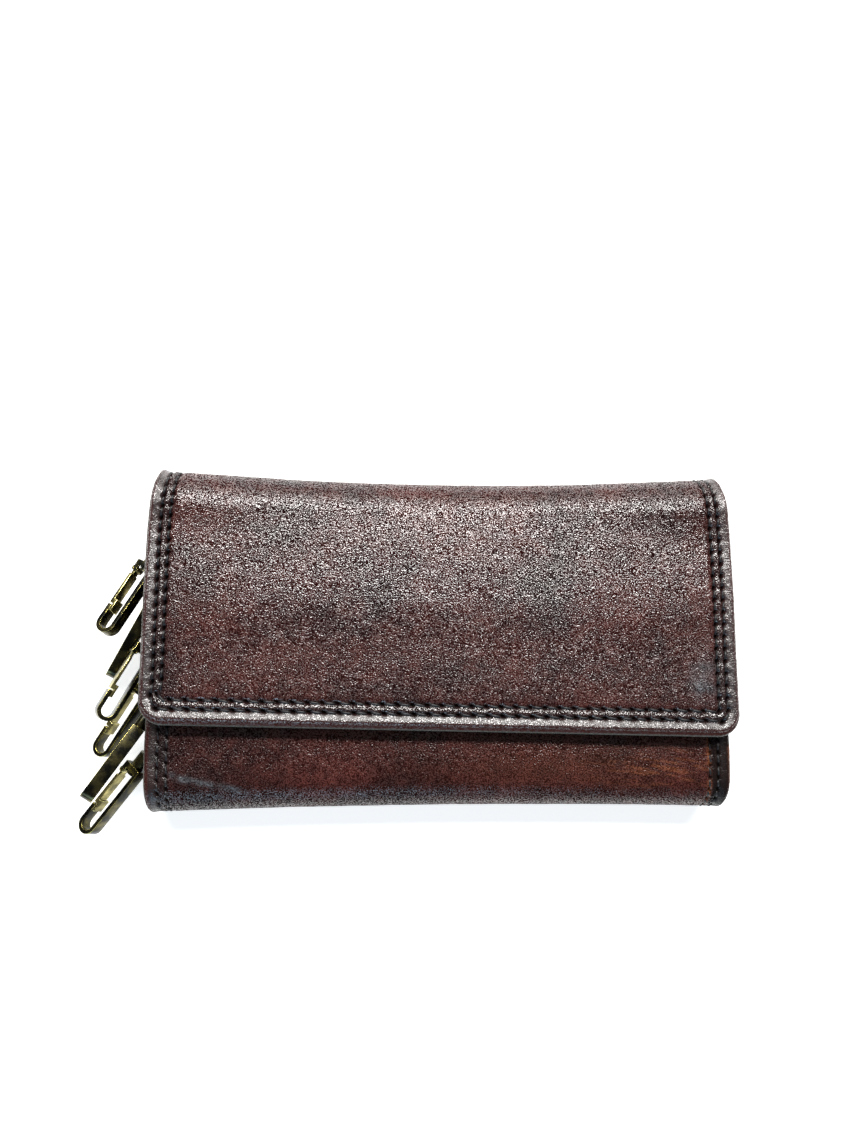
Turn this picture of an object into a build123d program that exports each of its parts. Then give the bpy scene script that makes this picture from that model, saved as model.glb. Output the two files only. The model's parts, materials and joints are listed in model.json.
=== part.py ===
from build123d import *

import os

os.makedirs("parts", exist_ok=True)

# Six-hook leather key case, closed and lying on its back. Millimetres, +Z up.
# X runs along the case and Y from the lower fold (-) to the upper fold (+). The
# origin is in the middle of the back's outer face. The hooks leave the -X end.

# Case outline
CASE_HEIGHT = 68.0
PANEL_HALF_WIDTH = 59.5
FLAP_HALF_WIDTH = 60.0
FLAP_EDGE_Y = -18.0
FRONT_EDGE_Y = -1.0
FLAP_CORNER = 4.8
FRONT_CORNER = 3.0

# Layers of each panel, from the outside in
SHELL = 1.2
STIFFENER = 0.5
LINING = 0.7
HEM = 3.0

# Folds: radius of the outer leather surface
TOP_RADIUS = 8.0
BOTTOM_RADIUS = 6.2
TOP_FOLD_Y = CASE_HEIGHT / 2 - TOP_RADIUS
BOTTOM_FOLD_Y = BOTTOM_RADIUS - CASE_HEIGHT / 2
FLAP_TOP = 2 * TOP_RADIUS
FRONT_TOP = 2 * BOTTOM_RADIUS
PANEL_THICKNESS = SHELL + STIFFENER + LINING

# Sewing: two rows of thread along each sewn edge
ROW_INSETS = (2.4, 4.4)
THREAD_WIDTH = 0.5
THREAD_SUNK = 0.2
THREAD_PROUD = 0.15
CORNER_LEAST = 0.4

# Press studs
SNAP_X = (-32.0, 32.0)
SNAP_Y = -10.5
STUD_BASE_RADIUS = 4.2
STUD_BASE_HEIGHT = 0.4
STUD_KNOB_RADIUS = 2.0
STUD_KNOB_HEIGHT = 1.1
STUD_POST_RADIUS = 1.6
STUD_WASHER_RADIUS = 3.6
STUD_WASHER_THICKNESS = 0.4
SOCKET_FLANGE_RADIUS = 5.0
SOCKET_FLANGE_THICKNESS = 0.6
SOCKET_BARREL_RADIUS = 3.6
SOCKET_BORE_RADIUS = 2.75

# Key plate and its rivets
PLATE_X = (-58.4, -49.0)
PLATE_THICKNESS = 0.8
PLATE_CORNER = 1.5
PLATE_END = 2.3
PLATE_RIVET_X = -51.5
PLATE_RIVET_Y = (19.0, 2.5, -14.0)
RIVET_RADIUS = 1.0
RIVET_HEAD_RADIUS = 1.8
RIVET_HEAD_HEIGHT = 0.6
RIVET_WASHER_RADIUS = 2.2

# Hook posts
HOOK_COUNT = 6
POST_X = -56.5
POST_TOP_Y = 23.5
POST_PITCH = 8.4
HOOK_Z = 5.7
EYE_THICKNESS = 1.2
EYE_RADIUS = 2.0
EYE_TONGUE = 3.2
EYE_TONGUE_WIDTH = 1.8
POST_RADIUS = 1.0
POST_SHOULDER_RADIUS = 1.6
POST_HEAD_RADIUS = 1.55
POST_HEAD_HEIGHT = 0.6
RUNNING_GAP = 0.05

# Where each hook points: degrees below -X, upward pitch, and roll about its length
HOOK_POSES = (
    (62.0, 12.0, 20.0),
    (62.0, -5.0, 75.0),
    (63.0, 12.0, -25.0),
    (58.0, -5.0, 20.0),
    (57.0, 12.0, 80.0),
    (52.0, -5.0, 25.0),
)

# One hook, along its length U from the post, across its loop V, strip width W
HOOK_LENGTH = 26.0
LOOP_WIDTH = 4.2
STRIP_WIDTH = 2.6
STRIP_THICKNESS = 0.8
BRIDGE_U = (9.4, 10.5)
NOSE_U = 20.2
SHANK_RADIUS = 0.8
BARREL_RADIUS = 1.4
BARREL_U = 6.2
SHANK_HEAD_RADIUS = 1.05
SHANK_HEAD_HEIGHT = 0.7
GATE_PIVOT_U = 11.4
GATE_PIVOT_V = -1.7
GATE_THICKNESS = 0.6
GATE_ROOT_WIDTH = 1.64
GATE_ROOT_END = 12.8
GATE_TAB_LENGTH = 1.3
GATE_TAB_DROP = 0.75
GATE_TAB_THICKNESS = 0.5
GATE_TAB_ROOT = 1.0
GATE_END_GAP = 0.3
KNUCKLE_RADIUS = 0.6
PIN_RADIUS = 0.3
EAR_THICKNESS = 0.4
EAR_DROP = 0.4


def save(node, shape):
    """Write one node's solid or group of solids to its STEP file."""
    export_step(shape, f"parts/{node}.step")


def disc(x, y, z_low, z_high, radius):
    """Upright cylinder between two heights."""
    return Pos(x, y, z_low) * extrude(Circle(radius), z_high - z_low)


def outline(half_width, y_fold, y_free, corner):
    """Flat outline of a panel: square at its fold and rounded at its free edge."""
    middle = (y_fold + y_free) / 2
    face = Pos(0, middle) * Rectangle(2 * half_width, abs(y_fold - y_free))
    free_end = face.vertices().sort_by(Axis.Y)[:2]
    return fillet(free_end, corner)


def plate_between(face, z_low, z_high):
    """Flat face raised between two heights."""
    return Pos(0, 0, z_low) * extrude(face, z_high - z_low)


def thread_rows(half_width, y_fold, y_free, corner, z_low, z_high):
    """Two rows of thread round a panel's two ends and its free edge."""
    rows = []
    for inset in ROW_INSETS:
        outer_corner = max(corner - inset, CORNER_LEAST)
        inner_corner = max(outer_corner - THREAD_WIDTH, CORNER_LEAST)
        outer = outline(half_width - inset, y_fold, y_free + inset, outer_corner)
        within = inset + THREAD_WIDTH
        inner = outline(half_width - within, y_fold + HEM, y_free + within, inner_corner)
        rows.append(plate_between(outer - inner, z_low, z_high))
    return rows


def tray(half_width, y_fold, y_free, corner, z_outer, inward):
    """Outer leather of a panel with its edge turned in round the stiffener."""
    depth = SHELL + STIFFENER
    low, high = sorted((z_outer, z_outer + inward * depth))
    whole = plate_between(outline(half_width, y_fold, y_free, corner), low, high)
    inner = outline(half_width - HEM, y_fold + HEM, y_free + HEM, CORNER_LEAST)
    low, high = sorted((z_outer + inward * SHELL, z_outer + inward * (depth + HEM)))
    return whole - plate_between(inner, low, high)


def stiffener(half_width, y_fold, y_free, z_outer, inward):
    """Card that fills the tray of a panel."""
    face = outline(half_width - HEM, y_fold, y_free + HEM, CORNER_LEAST)
    low, high = sorted((z_outer + inward * SHELL, z_outer + inward * (SHELL + STIFFENER)))
    return plate_between(face, low, high)


def lining(half_width, y_fold, y_free, corner, z_outer, inward):
    """Inner leather of a panel."""
    low, high = sorted(
        (z_outer + inward * (SHELL + STIFFENER), z_outer + inward * PANEL_THICKNESS)
    )
    return plate_between(outline(half_width, y_fold, y_free, corner), low, high)


def half_ring(y_centre, radius, outer_depth, inner_depth, side):
    """Leather bent half way round a fold, between two depths under its outside."""
    ring = Circle(radius - outer_depth) - Circle(radius - inner_depth)
    half = ring & (Pos(side * radius / 2, 0) * Rectangle(radius, 2 * radius))
    start = (-PANEL_HALF_WIDTH, y_centre, radius)
    section = Plane(origin=start, x_dir=(0, 1, 0), z_dir=(1, 0, 0)) * half
    return extrude(section, 2 * PANEL_HALF_WIDTH)


def make_folds():
    """Outer leather and lining of the upper and the lower fold."""
    lining_depths = (SHELL + STIFFENER, PANEL_THICKNESS)
    for name, y_centre, radius, side in (
        ("top_fold", TOP_FOLD_Y, TOP_RADIUS, 1),
        ("bottom_fold", BOTTOM_FOLD_Y, BOTTOM_RADIUS, -1),
    ):
        save(name, half_ring(y_centre, radius, 0, SHELL, side))
        save(f"{name}_lining", half_ring(y_centre, radius, *lining_depths, side))


def back_layer(z_low, z_high, inset=0.0):
    """Flat layer of the back, between the two folds."""
    length = TOP_FOLD_Y - BOTTOM_FOLD_Y
    middle = (TOP_FOLD_Y + BOTTOM_FOLD_Y) / 2
    face = Pos(0, middle) * Rectangle(2 * (PANEL_HALF_WIDTH - inset), length)
    return plate_between(face, z_low, z_high)


def back_threads():
    """Four straight rows of thread across the back, two at each end."""
    length = TOP_FOLD_Y - BOTTOM_FOLD_Y
    middle = (TOP_FOLD_Y + BOTTOM_FOLD_Y) / 2
    rows = []
    for side in (-1, 1):
        for inset in ROW_INSETS:
            x = side * (PANEL_HALF_WIDTH - inset - THREAD_WIDTH / 2)
            face = Pos(x, middle) * Rectangle(THREAD_WIDTH, length)
            rows.append(plate_between(face, 0, THREAD_SUNK))
    return rows


def make_back():
    """Back panel: outer leather, card, lining and thread, bored for the rivets."""
    card_top = SHELL + STIFFENER
    threads = back_threads()
    shell = back_layer(0, card_top) - back_layer(SHELL, card_top, HEM)
    card = back_layer(SHELL, card_top, HEM)
    inner = back_layer(card_top, PANEL_THICKNESS)
    for y in PLATE_RIVET_Y:
        card -= disc(PLATE_RIVET_X, y, SHELL, card_top, RIVET_WASHER_RADIUS)
        inner -= disc(PLATE_RIVET_X, y, card_top, PANEL_THICKNESS, RIVET_RADIUS)
    save("back_shell", shell - threads)
    save("back_stiffener", card)
    save("back_lining", inner)
    save("back_stitching", Compound(children=threads))


def make_front():
    """Lower front panel, which carries the press studs."""
    turned = Rot(0, 0, 180)
    mirrored = (PANEL_HALF_WIDTH, -BOTTOM_FOLD_Y, -FRONT_EDGE_Y)
    low, high = FRONT_TOP - THREAD_SUNK, FRONT_TOP + THREAD_PROUD
    rows = [turned * r for r in thread_rows(*mirrored, FRONT_CORNER, low, high)]
    shell = turned * tray(*mirrored, FRONT_CORNER, FRONT_TOP, -1) - rows
    card = turned * stiffener(*mirrored, FRONT_TOP, -1)
    inner = turned * lining(*mirrored, FRONT_CORNER, FRONT_TOP, -1)
    for x in SNAP_X:
        bore = disc(x, SNAP_Y, FRONT_TOP - PANEL_THICKNESS, FRONT_TOP, STUD_POST_RADIUS)
        shell -= bore
        card -= bore
        inner -= bore
    save("front_shell", shell)
    save("front_stiffener", card)
    save("front_lining", inner)
    save("front_stitching", Compound(children=rows))


def make_flap():
    """Flap that closes over the lower front panel and holds the press sockets."""
    size = (FLAP_HALF_WIDTH, TOP_FOLD_Y, FLAP_EDGE_Y)
    low, high = FLAP_TOP - THREAD_SUNK, FLAP_TOP + THREAD_PROUD
    rows = thread_rows(*size, FLAP_CORNER, low, high)
    inner = lining(*size, FLAP_CORNER, FLAP_TOP, -1)
    lining_low = FLAP_TOP - PANEL_THICKNESS
    for x in SNAP_X:
        inner -= disc(x, SNAP_Y, lining_low, lining_low + LINING, SOCKET_BARREL_RADIUS)
    save("flap_shell", tray(*size, FLAP_CORNER, FLAP_TOP, -1) - rows)
    save("flap_stiffener", stiffener(*size, FLAP_TOP, -1))
    save("flap_lining", inner)
    save("flap_stitching", Compound(children=rows))


def make_snaps():
    """Press studs on the front panel, their washers, and the sockets in the flap."""
    studs, washers, sockets = [], [], []
    base_top = FRONT_TOP + STUD_BASE_HEIGHT
    front_under = FRONT_TOP - PANEL_THICKNESS
    washer_low = front_under - STUD_WASHER_THICKNESS
    lining_low = FLAP_TOP - PANEL_THICKNESS
    flange_low = lining_low - SOCKET_FLANGE_THICKNESS
    for x in SNAP_X:
        stud = disc(x, SNAP_Y, FRONT_TOP, base_top, STUD_BASE_RADIUS)
        stud += disc(x, SNAP_Y, base_top, base_top + STUD_KNOB_HEIGHT, STUD_KNOB_RADIUS)
        stud += disc(x, SNAP_Y, washer_low, FRONT_TOP, STUD_POST_RADIUS)
        studs.append(stud)
        ring = disc(x, SNAP_Y, washer_low, front_under, STUD_WASHER_RADIUS)
        washers.append(ring - disc(x, SNAP_Y, washer_low, front_under, STUD_POST_RADIUS))
        socket = disc(x, SNAP_Y, flange_low, lining_low, SOCKET_FLANGE_RADIUS)
        socket += disc(x, SNAP_Y, lining_low, lining_low + LINING, SOCKET_BARREL_RADIUS)
        bore = disc(x, SNAP_Y, flange_low, lining_low + LINING, SOCKET_BORE_RADIUS)
        sockets.append(socket - bore)
    save("snap_studs", Compound(children=studs))
    save("stud_washers", Compound(children=washers))
    save("snap_sockets", Compound(children=sockets))


def post_y(index):
    """Y of one hook's post, counted from the upper end of the plate."""
    return POST_TOP_Y - POST_PITCH * index


def make_plate():
    """Key plate on the back lining, with its rivets and the six hook posts."""
    top = PANEL_THICKNESS + PLATE_THICKNESS
    y_high = POST_TOP_Y + PLATE_END
    y_low = post_y(HOOK_COUNT - 1) - PLATE_END
    x_middle = (PLATE_X[0] + PLATE_X[1]) / 2
    size = (PLATE_X[1] - PLATE_X[0], y_high - y_low)
    face = Pos(x_middle, (y_low + y_high) / 2) * RectangleRounded(*size, PLATE_CORNER)
    plate = plate_between(face, PANEL_THICKNESS, top)
    rivets, washers = [], []
    for y in PLATE_RIVET_Y:
        plate -= disc(PLATE_RIVET_X, y, PANEL_THICKNESS, top, RIVET_RADIUS)
        rivet = disc(PLATE_RIVET_X, y, SHELL, top, RIVET_RADIUS)
        rivet += disc(PLATE_RIVET_X, y, top, top + RIVET_HEAD_HEIGHT, RIVET_HEAD_RADIUS)
        rivets.append(rivet)
        washer = disc(PLATE_RIVET_X, y, SHELL, SHELL + STIFFENER, RIVET_WASHER_RADIUS)
        washers.append(washer - disc(PLATE_RIVET_X, y, SHELL, top, RIVET_RADIUS))
    save("key_plate", plate)
    save("plate_rivets", Compound(children=rivets))
    save("rivet_washers", Compound(children=washers))
    save("hook_posts", Compound(children=[post(i, top) for i in range(HOOK_COUNT)]))


def post(index, plate_top):
    """Shouldered post with a head, on which one hook's eye turns."""
    y = post_y(index)
    eye_low = HOOK_Z - EYE_THICKNESS / 2 - RUNNING_GAP
    head_low = HOOK_Z + EYE_THICKNESS / 2 + RUNNING_GAP
    solid = disc(POST_X, y, plate_top, eye_low, POST_SHOULDER_RADIUS)
    solid += disc(POST_X, y, eye_low, head_low, POST_RADIUS)
    return solid + disc(POST_X, y, head_low, head_low + POST_HEAD_HEIGHT, POST_HEAD_RADIUS)


def hook_frame_location(index):
    """Location of a hook: local X along it, Y across its loop, Z across its strip."""
    slope, pitch, roll = HOOK_POSES[index]
    turned = Rot(0, 0, 180 + slope) * Rot(0, -pitch, 0) * Rot(roll, 0, 0)
    return Pos(POST_X, post_y(index), HOOK_Z) * turned


def rod(u_low, u_high, radius):
    """Round bar along a hook's length."""
    return Pos(u_low, 0, 0) * (Rot(0, 90, 0) * extrude(Circle(radius), u_high - u_low))


def strip(face, width):
    """Flat shape in a hook's loop plane, given its strip width."""
    return extrude(face, width / 2, both=True)


def bar(u_low, u_high, v_low, v_high):
    """Rectangle in a hook's loop plane."""
    middle = Pos((u_low + u_high) / 2, (v_low + v_high) / 2)
    return middle * Rectangle(u_high - u_low, v_high - v_low)


def hook_link(index):
    """Eye on the post, with the shank, barrel and riveted head of the swivel."""
    slope = HOOK_POSES[index][0]
    face = Circle(EYE_RADIUS)
    face += Pos(EYE_TONGUE / 2, 0) * Rectangle(EYE_TONGUE, EYE_TONGUE_WIDTH)
    face -= Circle(POST_RADIUS + RUNNING_GAP)
    eye_place = Pos(POST_X, post_y(index), HOOK_Z) * Rot(0, 0, 180 + slope)
    head_low = BRIDGE_U[1] + RUNNING_GAP
    shank = rod(EYE_RADIUS, head_low, SHANK_RADIUS)
    shank += rod(BARREL_U, BRIDGE_U[0] - RUNNING_GAP, BARREL_RADIUS)
    shank += rod(head_low, head_low + SHANK_HEAD_HEIGHT, SHANK_HEAD_RADIUS)
    return eye_place * strip(face, EYE_THICKNESS) + hook_frame_location(index) * shank


def loop_face():
    """Loop of a hook seen flat: bridge, fixed arm, round end and short nose."""
    half = LOOP_WIDTH / 2
    bend_u = HOOK_LENGTH - half
    inner = half - STRIP_THICKNESS
    face = bar(*BRIDGE_U, -half, half)
    face += bar(BRIDGE_U[0], bend_u, inner, half)
    face += bar(NOSE_U, bend_u, -half, -inner)
    bend = Pos(bend_u, 0) * (Circle(half) - Circle(inner))
    return face + (bend & bar(bend_u, HOOK_LENGTH, -half, half))


def hook_frame():
    """Bent strip of a hook, with the two ears that hold the gate pin."""
    body = strip(loop_face(), STRIP_WIDTH) - rod(*BRIDGE_U, SHANK_RADIUS + RUNNING_GAP)
    ear_low, ear_high = GATE_PIVOT_V - EAR_DROP, GATE_PIVOT_V + KNUCKLE_RADIUS
    ear = bar(BRIDGE_U[1], GATE_PIVOT_U, ear_low, ear_high)
    ear += Pos(GATE_PIVOT_U, GATE_PIVOT_V) * Circle(KNUCKLE_RADIUS)
    ear -= Pos(GATE_PIVOT_U, GATE_PIVOT_V) * Circle(PIN_RADIUS)
    ear_face = extrude(ear, EAR_THICKNESS)
    for w in (-STRIP_WIDTH / 2, STRIP_WIDTH / 2 - EAR_THICKNESS):
        body += Pos(0, 0, w) * ear_face
    return body


def hook_gate():
    """Sprung gate of a hook: knuckle, leaf and the tab that shuts behind the nose."""
    v_low = -LOOP_WIDTH / 2 + RUNNING_GAP
    v_high = v_low + GATE_THICKNESS
    leaf_end = NOSE_U - GATE_END_GAP
    tab_high = v_high + GATE_TAB_DROP
    root = bar(GATE_PIVOT_U, GATE_ROOT_END, v_low, v_high)
    root += Pos(GATE_PIVOT_U, GATE_PIVOT_V) * Circle(KNUCKLE_RADIUS)
    leaf = bar(GATE_ROOT_END, leaf_end, v_low, v_high)
    tab_root = leaf_end - GATE_TAB_ROOT
    tab_end = NOSE_U + GATE_TAB_LENGTH
    leaf += bar(tab_root, leaf_end, v_high, tab_high)
    leaf += bar(tab_root, tab_end, tab_high - GATE_TAB_THICKNESS, tab_high)
    body = strip(root, GATE_ROOT_WIDTH) + strip(leaf, STRIP_WIDTH)
    bore = Pos(GATE_PIVOT_U, GATE_PIVOT_V) * Circle(PIN_RADIUS + RUNNING_GAP)
    return body - strip(bore, STRIP_WIDTH)


def gate_pin():
    """Pin on which a gate turns, held in the two ears."""
    return strip(Pos(GATE_PIVOT_U, GATE_PIVOT_V) * Circle(PIN_RADIUS), STRIP_WIDTH)


def make_hooks():
    """The six hooks, each of a link, a frame, a gate and a gate pin."""
    for index in range(HOOK_COUNT):
        place = hook_frame_location(index)
        name = f"hook_{index + 1}"
        save(f"{name}_link", hook_link(index))
        save(f"{name}_frame", place * hook_frame())
        save(f"{name}_gate", place * hook_gate())
        save(f"{name}_gate_pin", place * gate_pin())


make_back()
make_folds()
make_front()
make_flap()
make_snaps()
make_plate()
make_hooks()
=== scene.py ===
import json
import math

import bmesh
import bpy
import numpy as np
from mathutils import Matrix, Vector


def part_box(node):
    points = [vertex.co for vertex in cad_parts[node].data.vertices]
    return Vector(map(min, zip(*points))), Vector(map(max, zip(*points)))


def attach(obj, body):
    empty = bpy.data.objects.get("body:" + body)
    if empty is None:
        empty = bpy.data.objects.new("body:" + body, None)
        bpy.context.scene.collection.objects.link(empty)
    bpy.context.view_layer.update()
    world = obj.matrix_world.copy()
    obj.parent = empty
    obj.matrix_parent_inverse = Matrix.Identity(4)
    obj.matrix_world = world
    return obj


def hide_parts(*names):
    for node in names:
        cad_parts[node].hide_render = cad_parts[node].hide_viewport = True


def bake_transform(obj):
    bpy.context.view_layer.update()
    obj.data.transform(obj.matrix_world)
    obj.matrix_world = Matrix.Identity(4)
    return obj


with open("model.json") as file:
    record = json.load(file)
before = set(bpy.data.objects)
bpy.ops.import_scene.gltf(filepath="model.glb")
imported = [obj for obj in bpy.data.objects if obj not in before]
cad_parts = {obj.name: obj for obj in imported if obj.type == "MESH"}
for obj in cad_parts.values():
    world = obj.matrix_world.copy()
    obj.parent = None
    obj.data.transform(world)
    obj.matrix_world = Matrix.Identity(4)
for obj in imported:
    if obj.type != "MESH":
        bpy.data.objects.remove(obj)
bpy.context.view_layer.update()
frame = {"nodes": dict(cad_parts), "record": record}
NODES = frame["nodes"]
MM = 0.001

# Sizes taken from the frame, in millimetres
FLAP_BOX = [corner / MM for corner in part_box("flap_shell")]
FRONT_BOX = [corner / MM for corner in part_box("front_shell")]
BACK_BOX = [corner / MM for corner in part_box("back_shell")]
TOP_R = (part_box("top_fold")[1].z / MM) / 2
LOW_R = (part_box("bottom_fold")[1].z / MM) / 2
TOP_Y = BACK_BOX[1].y
LOW_Y = BACK_BOX[0].y
FLAP_HALF = FLAP_BOX[1].x
PANEL_HALF = BACK_BOX[1].x
FLAP_LENGTH = TOP_Y - FLAP_BOX[0].y
FRONT_LENGTH = FRONT_BOX[1].y - LOW_Y
BACK_MIDDLE = (TOP_Y + LOW_Y) / 2

# Layers and sewing, in millimetres
SHELL = 1.2
HEM_DEPTH = 1.7
HEM_WIDTH = 3.0
CARD_INSET = 3.0
LINING = 0.7
FLAP_CORNER = 4.8
FRONT_CORNER = 3.0
SIDE_ROWS = (2.75, 4.5)
END_ROWS = (3.25, 5.05)
SIDE_PITCH = 2.5
END_PITCH = 2.95
STITCH_RADIUS = 0.24
STITCH_GAP = 0.7
FOLD_TUCK = 0.6
STRIP_WIDTH = 4.4


# ---------------------------------------------------------------- noise and grids

LATTICE = 256


def value_noise(x, y, cell, seed):
    """Smooth random field from -1 to 1 with the given cell size."""
    lattice = np.random.RandomState(seed).uniform(-1, 1, (LATTICE, LATTICE))
    gx, gy = x / cell + LATTICE / 2, y / cell + LATTICE / 2
    ix, iy = np.floor(gx).astype(int), np.floor(gy).astype(int)
    fx, fy = gx - ix, gy - iy
    fx, fy = fx * fx * (3 - 2 * fx), fy * fy * (3 - 2 * fy)
    ix, iy = ix % (LATTICE - 1), iy % (LATTICE - 1)
    low = lattice[ix, iy] * (1 - fx) + lattice[ix + 1, iy] * fx
    high = lattice[ix, iy + 1] * (1 - fx) + lattice[ix + 1, iy + 1] * fx
    return low * (1 - fy) + high * fy


def smooth(t):
    """Smooth step of t, clipped to 0 to 1."""
    t = np.clip(t, 0, 1)
    return t * t * (3 - 2 * t)


def waves(x, y, kind, shift=0):
    """Random waves of one kind, which is a height, a cell size and a seed."""
    height, cell, seed = kind
    return height * value_noise(x, y, cell, seed + shift)


def soft_line(distance, line):
    """Soft line from 0 to 1; a line is its distance and its half width."""
    middle, half = line
    return np.exp(-((distance - middle) / half) ** 2)


def spot(x, y, place):
    """Soft oval from 0 to 1; its place is a centre x and y and two half widths."""
    centre_x, centre_y, half_x, half_y = place
    return np.exp(-((x - centre_x) / half_x) ** 2 - ((y - centre_y) / half_y) ** 2)


def new_object(name, verts_mm, faces, smooth_shading=True):
    """Mesh object from points in millimetres."""
    mesh = bpy.data.meshes.new(name)
    mesh.from_pydata((np.asarray(verts_mm) * MM).tolist(), [], faces)
    mesh.update()
    if smooth_shading:
        mesh.polygons.foreach_set("use_smooth", [True] * len(mesh.polygons))
    obj = bpy.data.objects.new(name, mesh)
    bpy.context.scene.collection.objects.link(obj)
    return obj


def add_attribute(obj, name, values):
    """Point attribute that a material reads: one number or one vector a vertex."""
    values = np.asarray(values, np.float32)
    kind = "FLOAT" if values.ndim == 1 else "FLOAT_VECTOR"
    attribute = obj.data.attributes.new(name, kind, "POINT")
    key = "value" if values.ndim == 1 else "vector"
    attribute.data.foreach_set(key, values.ravel())


# ---------------------------------------------------------------- sheet paths

class Path:
    """A panel's outer surface: a quarter fold from its outermost line, then a flat.

    side is +1 for the upper fold and -1 for the lower; rise is +1 for the half of
    the fold above its middle and -1 for the half below.
    """

    def __init__(self, fold_y, radius, side, rise, flat):
        self.fold_y, self.radius = fold_y, radius
        self.side, self.rise = side, rise
        self.arc = radius * math.pi / 2
        self.length = self.arc + flat

    def place(self, s):
        """Point and outward normal, each as (y, z), at a distance along the path."""
        angle = np.clip(s, 0, self.arc) / self.radius
        run = np.clip(s - self.arc, 0, None)
        ny, nz = self.side * np.cos(angle), self.rise * np.sin(angle)
        y = self.fold_y + self.radius * ny - self.side * run
        z = self.radius + self.radius * nz
        return y, z, ny, nz


PATHS = {
    "flap": Path(TOP_Y, TOP_R, 1, 1, FLAP_LENGTH),
    "front": Path(LOW_Y, LOW_R, -1, 1, FRONT_LENGTH),
    "upper_back": Path(TOP_Y, TOP_R, 1, -1, TOP_Y - BACK_MIDDLE),
    "lower_back": Path(LOW_Y, LOW_R, -1, -1, BACK_MIDDLE - LOW_Y),
}
HALF_WIDTH = {"flap": FLAP_HALF, "front": PANEL_HALF, "upper_back": PANEL_HALF, "lower_back": PANEL_HALF}
CORNER = {"flap": FLAP_CORNER, "front": FRONT_CORNER}


TUCK_RUN = 7.0
FLAP_SKEW = 0.021


def half_width(panel, s):
    """Half width along a panel: it narrows a little round the fold."""
    path = PATHS[panel]
    tuck = 1 - smooth(s / (path.arc + TUCK_RUN))
    fold_half = PANEL_HALF - FOLD_TUCK
    return HALF_WIDTH[panel] + (fold_half - HALF_WIDTH[panel]) * tuck


def free_edge(panel, x):
    """Length of a panel's path at x: the flap's edge runs a little askew."""
    skew = FLAP_SKEW if panel == "flap" else 0.0
    return PATHS[panel].length + skew * x


def edge_distance(panel, x, s):
    """Distance from a panel's outline, measured along its surface."""
    side = half_width(panel, s) - np.abs(x)
    if panel not in CORNER:
        return np.clip(side, 0, None)
    free = free_edge(panel, x) - s
    r = CORNER[panel]
    in_corner = (side < r) & (free < r)
    round_off = r - np.hypot(r - side, r - free)
    return np.clip(np.where(in_corner, round_off, np.minimum(side, free)), 0, None)


def spaced(length, step):
    """Even spacing along a length, both ends included."""
    return np.linspace(0, length, max(int(round(length / step)), 2) + 1)


EDGE_STEPS = np.array([0, 0.03, 0.1, 0.22, 0.38, 0.58, 0.8, 1.0])
EDGE_RUN = 1.2
BORDER = 6.6
FIELD_STRETCH = 1.5


def across_lines(half, step):
    """Positions from the middle to one edge: fine over the border, finer at the rim."""
    field = spaced(half - BORDER, step * FIELD_STRETCH)
    border = half - BORDER + spaced(BORDER - EDGE_STEPS[-1], step)[1:-1]
    return np.concatenate([field, border, half - EDGE_STEPS[::-1]])


def sheet_grid(panel, step):
    """Grid of x and s over a panel, with fine lines beside its edges."""
    path = PATHS[panel]
    has_end = panel in CORNER
    s_line = spaced(path.length, step)
    if has_end:
        s_line = np.concatenate([spaced(path.length - EDGE_RUN, step), path.length - EDGE_STEPS[::-1]])
    half = across_lines(HALF_WIDTH[panel], step)
    u = np.concatenate([-half[::-1], half[1:]]) / HALF_WIDTH[panel]
    S, U = np.meshgrid(s_line, u, indexing="ij")
    widest = half_width(panel, S)
    if has_end:
        r = CORNER[panel]
        left = np.clip(path.length - S, 0, None)
        widest = widest - r + np.sqrt(np.clip(r * r - np.clip(r - left, 0, None) ** 2, 0, None))
    X = U * widest
    if has_end:
        S = S * free_edge(panel, X) / path.length
    return X, S


def grid_quads(rows, columns, start, flip):
    """Quads of a grid of vertices."""
    i, j = np.meshgrid(np.arange(rows - 1), np.arange(columns - 1), indexing="ij")
    a = (start + i * columns + j).ravel()
    quads = np.stack([a, a + 1, a + columns + 1, a + columns], 1)
    return (quads[:, ::-1] if flip else quads).tolist()


def every(count, skip):
    """Every skip-th index of a line, with the last one."""
    return sorted(set(range(0, count, skip)) | {count - 1})


def wall_faces(rows, columns, kept_rows, kept_columns, flip, has_end):
    """Rim between a fine outer grid and a coarser inner one, open at the fold."""
    row_of = {i: n for n, i in enumerate(kept_rows)}
    column_of = {j: n for n, j in enumerate(kept_columns)}
    left = [(i, 0) for i in range(rows)]
    end = [(rows - 1, j) for j in range(1, columns - 1)]
    right = [(i, columns - 1) for i in range(rows - 1, -1, -1)]
    faces = []
    for rim in [left + end + right] if has_end else [left, right]:
        stops = [k for k, (i, j) in enumerate(rim) if i in row_of and j in column_of]
        for first, last in zip(stops, stops[1:]):
            outer = [i * columns + j for i, j in rim[first:last + 1]]
            inner = [
                rows * columns + row_of[i] * len(kept_columns) + column_of[j]
                for i, j in (rim[last], rim[first])
            ]
            face = outer + inner
            faces.append(face[::-1] if flip else face)
    return faces


def sheet_object(name, panel, X, S, top, bottom, skip=1):
    """Sheet between two heights above a panel's surface, with the inside coarser."""
    path = PATHS[panel]
    rows, columns = X.shape
    kept_rows, kept_columns = every(rows, skip), every(columns, skip)
    pick = np.ix_(kept_rows, kept_columns)
    outer = lift(path, X, S, top).reshape(-1, 3)
    inner = lift(path, X[pick], S[pick], bottom[pick]).reshape(-1, 3)
    flip = path.side == path.rise
    faces = grid_quads(rows, columns, 0, flip)
    faces += grid_quads(len(kept_rows), len(kept_columns), rows * columns, not flip)
    faces += wall_faces(rows, columns, kept_rows, kept_columns, flip, panel in CORNER)
    points = np.concatenate([outer, inner])
    obj = new_object(name, points, faces)
    add_attribute(obj, "rest", points * MM)
    return obj


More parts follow.
